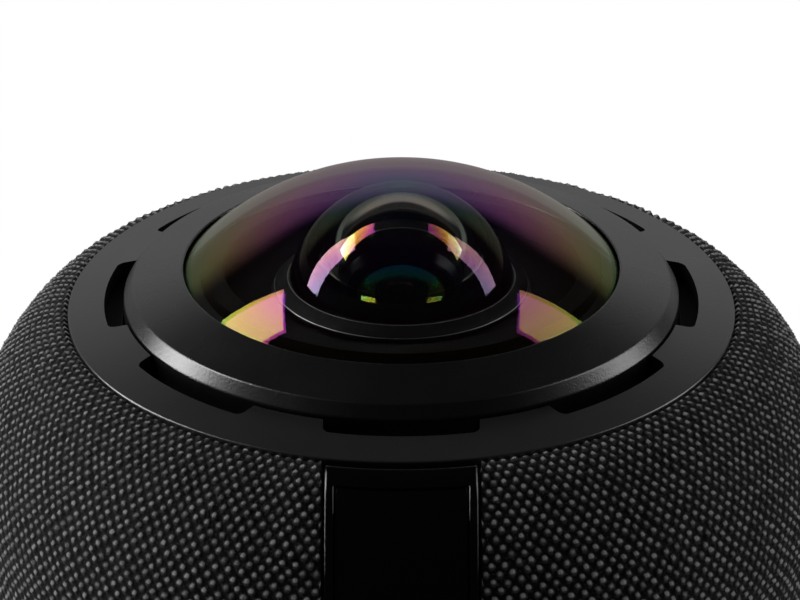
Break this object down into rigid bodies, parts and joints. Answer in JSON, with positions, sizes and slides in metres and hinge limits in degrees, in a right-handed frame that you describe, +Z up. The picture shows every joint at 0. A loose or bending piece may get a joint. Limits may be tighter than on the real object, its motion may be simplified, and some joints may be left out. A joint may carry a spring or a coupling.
{
  "type": "panoramic conference camera",
  "caption": "Round table-top conference camera: fisheye lens under a clear dome, notched sound ring, woven body with loudspeakers and a glossy control strip.",
  "frame": {"origin": "middle of the rubber foot's underside, on the table", "axes": "+Z up along the lens axis; the control strip faces -Y; +X is to a viewer's right"},
  "size_m": [0.111, 0.1108, 0.2217],
  "materials": {
    "satin_black": "satin, fine grain",
    "clear_dome": "clear, coated, polished",
    "coated_glass": "coated, polished",
    "filter_glass": "polished",
    "matt_black": "matt",
    "black_aluminium": "black anodised",
    "plain_aluminium": "extruded",
    "black_rubber": "matt",
    "sensor_package": "smooth",
    "circuit_board": "solder mask",
    "acoustic_mesh": "woven mesh",
    "plated_steel": "plated",
    "black_steel": "black finish",
    "chip_black": "moulded",
    "ribbon_film": "film",
    "woven_fabric": "coarse weave",
    "gloss_black": "polished",
    "button_black": "polished",
    "light_pipe": "frosted",
    "speaker_paper": "pressed paper",
    "brass": "turned"
  },
  "bodies": {
    "camera_body": {"top_plate": "satin_black", "lens_bezel": "satin_black", "lens_cover_dome": "clear_dome", "dome_seal": "black_rubber", "lens_housing": "matt_black", "front_element": "coated_glass", "element_retaining_ring": "matt_black", "lens_barrel": "black_aluminium", "second_element": "coated_glass", "third_element": "coated_glass", "aperture_stop": "matt_black", "rear_element": "coated_glass", "infrared_filter": "filter_glass", "image_sensor": "sensor_package", "sensor_board": "circuit_board", "sensor_heat_sink": "plain_aluminium", "microphone_mesh": "acoustic_mesh", "microphone_board": "circuit_board", "microphones": "plated_steel", "upper_frame": "matt_black", "main_board": "circuit_board", "processor": "chip_black", "processor_heat_sink": "plain_aluminium", "camera_ribbon": "ribbon_film", "grille_shell": "matt_black", "fabric_sleeve": "woven_fabric", "control_frame": "gloss_black", "control_panel": "gloss_black", "button_board": "circuit_board", "button_switches": "plated_steel", "status_light": "light_pipe", "speaker_box": "matt_black", "chassis_deck": "matt_black", "base_housing": "matt_black", "base_cover": "matt_black", "ballast_weight": "plated_steel", "foot_ring": "black_rubber", "tripod_insert": "brass", "connector_panel": "matt_black", "connector_board": "circuit_board", "usb_sockets": "plated_steel", "base_screws": "black_steel", "speaker_screws": "black_steel", "lens_housing_screws": "black_steel", "speaker_basket_left": "black_steel", "speaker_magnet_left": "plated_steel", "speaker_surround_left": "black_rubber", "speaker_basket_right": "black_steel", "speaker_magnet_right": "plated_steel", "speaker_surround_right": "black_rubber", "speaker_basket_rear": "black_steel", "speaker_magnet_rear": "plated_steel", "speaker_surround_rear": "black_rubber"},
    "volume_up": {"volume_up_button": "button_black"},
    "volume_down": {"volume_down_button": "button_black"},
    "mute": {"mute_button": "button_black"},
    "cone_left": {"speaker_cone_left": "speaker_paper"},
    "cone_right": {"speaker_cone_right": "speaker_paper"},
    "cone_rear": {"speaker_cone_rear": "speaker_paper"}
  },
  "joints": [
    {"name": "volume_up_press", "type": "slide", "parent": "camera_body", "child": "volume_up", "axis": [0, 1, 0], "range_m": [0, 0.0008], "stiffness_N_per_m": 1200, "springref_m": -0.0005},
    {"name": "volume_down_press", "type": "slide", "parent": "camera_body", "child": "volume_down", "axis": [0, 1, 0], "range_m": [0, 0.0008], "stiffness_N_per_m": 1200, "springref_m": -0.0005},
    {"name": "mute_press", "type": "slide", "parent": "camera_body", "child": "mute", "axis": [0, 1, 0], "range_m": [0, 0.0008], "stiffness_N_per_m": 1200, "springref_m": -0.0005},
    {"name": "cone_left_stroke", "type": "slide", "parent": "camera_body", "child": "cone_left", "axis": [-0.866, -0.5, 0], "range_m": [-0.001, 0.001], "stiffness_N_per_m": 1500},
    {"name": "cone_right_stroke", "type": "slide", "parent": "camera_body", "child": "cone_right", "axis": [0.866, -0.5, 0], "range_m": [-0.001, 0.001], "stiffness_N_per_m": 1500},
    {"name": "cone_rear_stroke", "type": "slide", "parent": "camera_body", "child": "cone_rear", "axis": [0, 1, 0], "range_m": [-0.001, 0.001], "stiffness_N_per_m": 1500}
  ]
}
